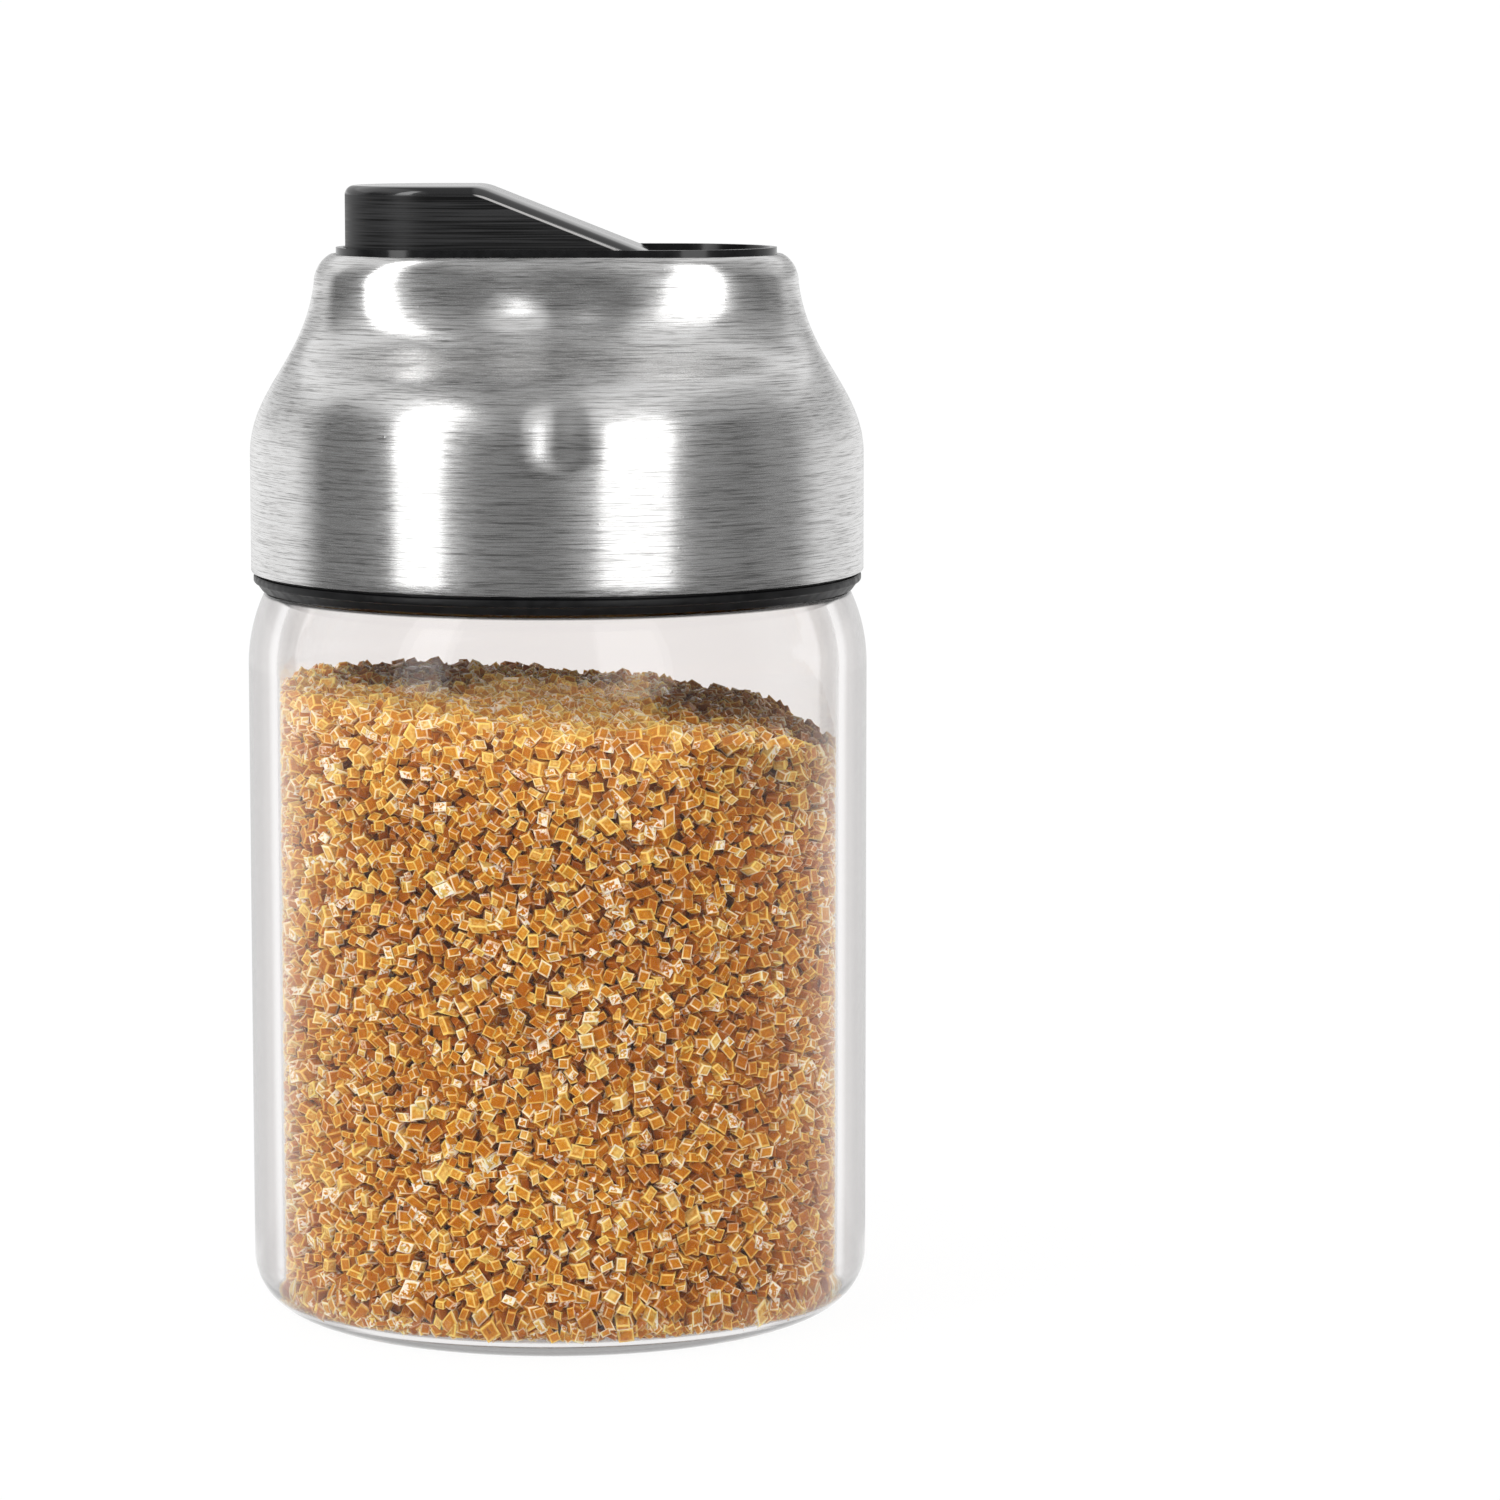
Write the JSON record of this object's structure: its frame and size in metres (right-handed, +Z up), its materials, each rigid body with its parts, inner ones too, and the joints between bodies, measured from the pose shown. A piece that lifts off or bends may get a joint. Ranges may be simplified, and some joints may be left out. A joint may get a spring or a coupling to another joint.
{
  "type": "sugar dispenser",
  "caption": "Clear glass sugar jar with a steel-covered black screw cap, a rocking wedge-shaped pouring flap and a thumb well.",
  "frame": {"origin": "centre of the flat underside of the glass, on the axis of the jar", "axes": "+Z up along the jar's axis; +X from the pouring flap towards the thumb well; +Y to the back of the pictured side"},
  "size_m": [0.0798, 0.0798, 0.1455],
  "materials": {
    "clear_glass": "polished",
    "brown_sugar": "satin",
    "silicone": "matte",
    "black_plastic": "gloss",
    "brushed_steel": "satin",
    "flap_black": "satin",
    "pin_steel": "polished"
  },
  "bodies": {
    "jar": {"glass_jar": "clear_glass", "sugar_fill": "brown_sugar"},
    "seal_ring": {"jar_gasket": "silicone"},
    "cap": {"cap_liner": "black_plastic", "cap_shell": "brushed_steel", "spout_insert": "black_plastic", "hinge_pin": "pin_steel"},
    "flap": {"flap_cover": "flap_black", "flap_carrier": "black_plastic", "flap_seal": "silicone"}
  },
  "joints": [
    {"name": "cap_rise", "type": "slide", "parent": "jar", "child": "seal_ring", "axis": [0, 0, 1], "range_m": [0, 0.0075]},
    {"name": "cap_turn", "type": "hinge", "parent": "seal_ring", "child": "cap", "pos_m": [0, 0, 0.1], "axis": [0, 0, 1], "range_deg": [0, 540]},
    {"name": "flap_open", "type": "hinge", "parent": "cap", "child": "flap", "pos_m": [0.007, 0, 0.13325], "axis": [0, 1, 0], "range_deg": [0, 60]}
  ],
  "couplings": [
    {"joint": "cap_rise", "follows": "cap_turn", "m_per_rad": 0.00079577}
  ]
}
